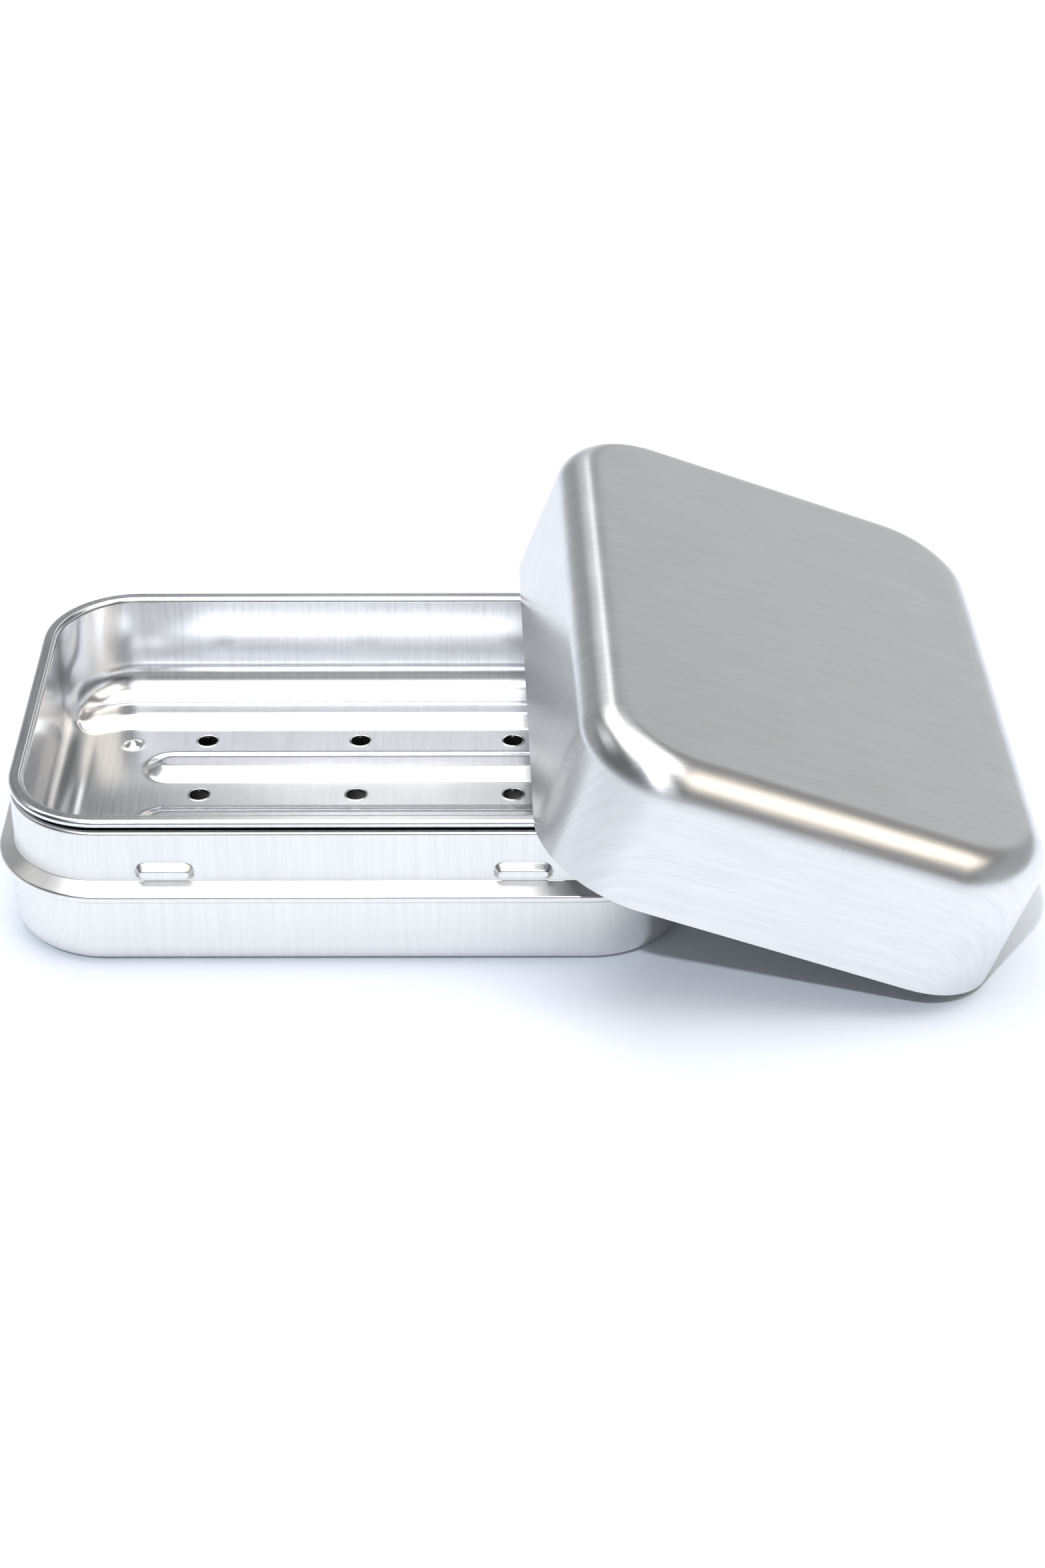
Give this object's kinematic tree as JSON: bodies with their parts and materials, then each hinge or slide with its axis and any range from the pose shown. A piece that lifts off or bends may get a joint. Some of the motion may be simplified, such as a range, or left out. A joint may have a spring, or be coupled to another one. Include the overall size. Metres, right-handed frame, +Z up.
{
  "type": "travel soap box",
  "caption": "Aluminium travel soap box: rounded rectangular tin, hanging drain tray with raised ribs and drain holes, and a deep slip-on lid lying off to one side.",
  "frame": {"origin": "centre of the base tin's flat underside, on the surface that it stands on", "axes": "+Z up, +X along the tin's long side towards the end that the lid leans over, +Y towards the back"},
  "size_m": [0.1474, 0.1016, 0.0436],
  "materials": {
    "base_aluminium": "brushed",
    "tray_aluminium": "satin",
    "lid_aluminium": "brushed"
  },
  "bodies": {
    "base": {"base_tin": "base_aluminium"},
    "tray": {"drain_tray": "tray_aluminium"},
    "lid": {"lid": "lid_aluminium"}
  },
  "joints": [
    {"name": "tray_lift", "type": "slide", "parent": "base", "child": "tray", "axis": [0, 0, 1], "range_m": [0, 0.04]},
    {"name": "lid_lift", "type": "slide", "parent": "tray", "child": "lid", "axis": [0, 0, 1], "range_m": [0, 0.06]}
  ]
}
